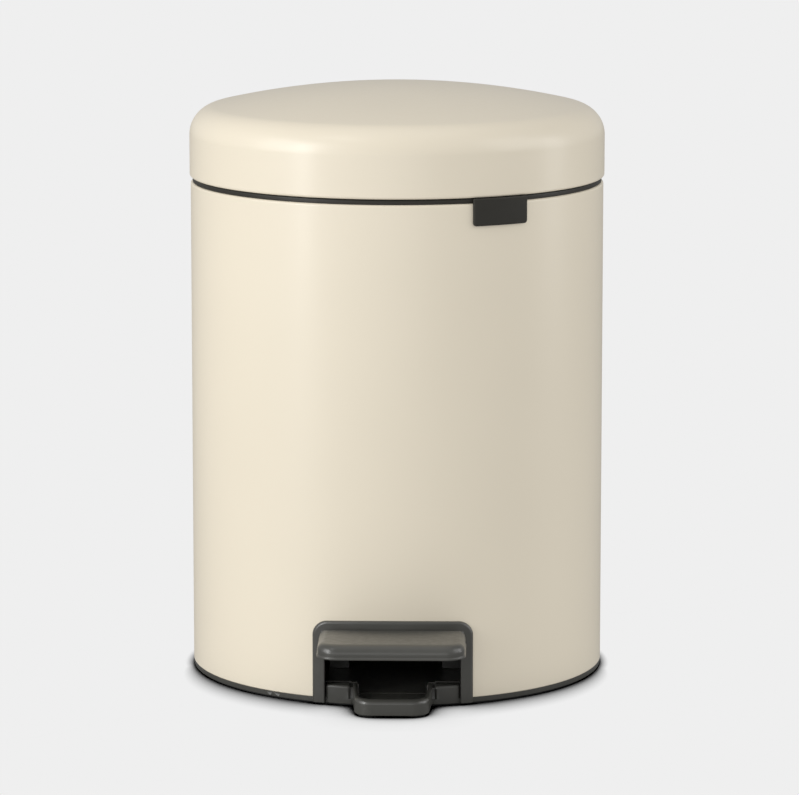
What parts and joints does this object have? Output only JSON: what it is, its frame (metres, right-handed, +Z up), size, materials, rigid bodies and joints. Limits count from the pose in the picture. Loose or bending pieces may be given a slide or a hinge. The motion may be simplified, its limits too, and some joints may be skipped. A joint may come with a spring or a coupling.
{
  "type": "pedal trash can",
  "caption": "Round steel trash can with a domed lid on a rear hinge, opened by a front foot pedal through a lever and push rod, with a lift-out inner bucket.",
  "frame": {"origin": "on the floor at the centre of the round body", "axes": "+Z up along the body's axis, -Y towards the pedal, +Y towards the hinge, +X to the right as seen from the pedal side"},
  "size_m": [0.205, 0.2665, 0.2913],
  "materials": {
    "beige_steel": "satin beige powder coat",
    "bare_steel": "plain zinc-plated steel",
    "black_steel": "black electro-coated steel",
    "dark_plastic": "fine-grained dark warm grey",
    "pedal_plastic": "satin dark warm grey",
    "bucket_plastic": "satin charcoal",
    "light_plastic": "natural bearing plastic",
    "black_rubber": "matt black"
  },
  "bodies": {
    "can": {"outer_shell": "beige_steel", "base_moulding": "dark_plastic", "floor_ring": "black_rubber", "tongue_pads": "black_rubber", "top_rim": "dark_plastic", "rim_tab": "dark_plastic", "pedal_bezel": "pedal_plastic", "lever_axle": "bare_steel", "axle_caps": "dark_plastic", "axle_cap_screws": "bare_steel", "lever_buffer": "black_rubber", "bucket_seat": "dark_plastic", "seat_screws": "bare_steel", "rod_guide": "dark_plastic", "guide_rivets": "bare_steel", "hinge_housing": "dark_plastic", "hinge_backplate": "bare_steel", "housing_screws": "bare_steel", "hinge_pin": "bare_steel", "damper_body": "dark_plastic"},
    "lid": {"lid_shell": "beige_steel", "lid_liner": "dark_plastic", "lid_bumpers": "black_rubber", "hinge_arm": "dark_plastic", "arm_screws": "bare_steel", "damper_rotor": "light_plastic"},
    "pedal": {"pedal_lever": "black_steel", "pedal_pad": "pedal_plastic", "pad_screws": "bare_steel", "lever_bushes": "light_plastic"},
    "rod": {"push_rod": "bare_steel", "rod_clips": "bare_steel"},
    "bucket": {"inner_bucket": "bucket_plastic"},
    "bail": {"bail_wire": "bare_steel", "bail_grip": "dark_plastic"}
  },
  "joints": [
    {"name": "lid_hinge", "type": "hinge", "parent": "can", "child": "lid", "pos_m": [0, 0.11, 0.246], "axis": [-1, 0, 0], "range_deg": [0, 72]},
    {"name": "pedal_pivot", "type": "hinge", "parent": "can", "child": "pedal", "pos_m": [0, -0.02, 0.016], "axis": [1, 0, 0], "range_deg": [0, 9.9]},
    {"name": "rod_slide", "type": "slide", "parent": "can", "child": "rod", "axis": [0, 0, 1], "range_m": [0, 0.02]},
    {"name": "bucket_lift", "type": "slide", "parent": "can", "child": "bucket", "axis": [0, 0, 1], "range_m": [0, 0.015]},
    {"name": "bail_swing", "type": "hinge", "parent": "bucket", "child": "bail", "pos_m": [0, 0, 0.2423], "axis": [-1, 0, 0], "range_deg": [0, 10]}
  ],
  "couplings": [
    {"joint": "pedal_pivot", "follows": "lid_hinge", "ratio": 0.1375},
    {"joint": "rod_slide", "follows": "lid_hinge", "m_per_rad": 0.015915}
  ]
}
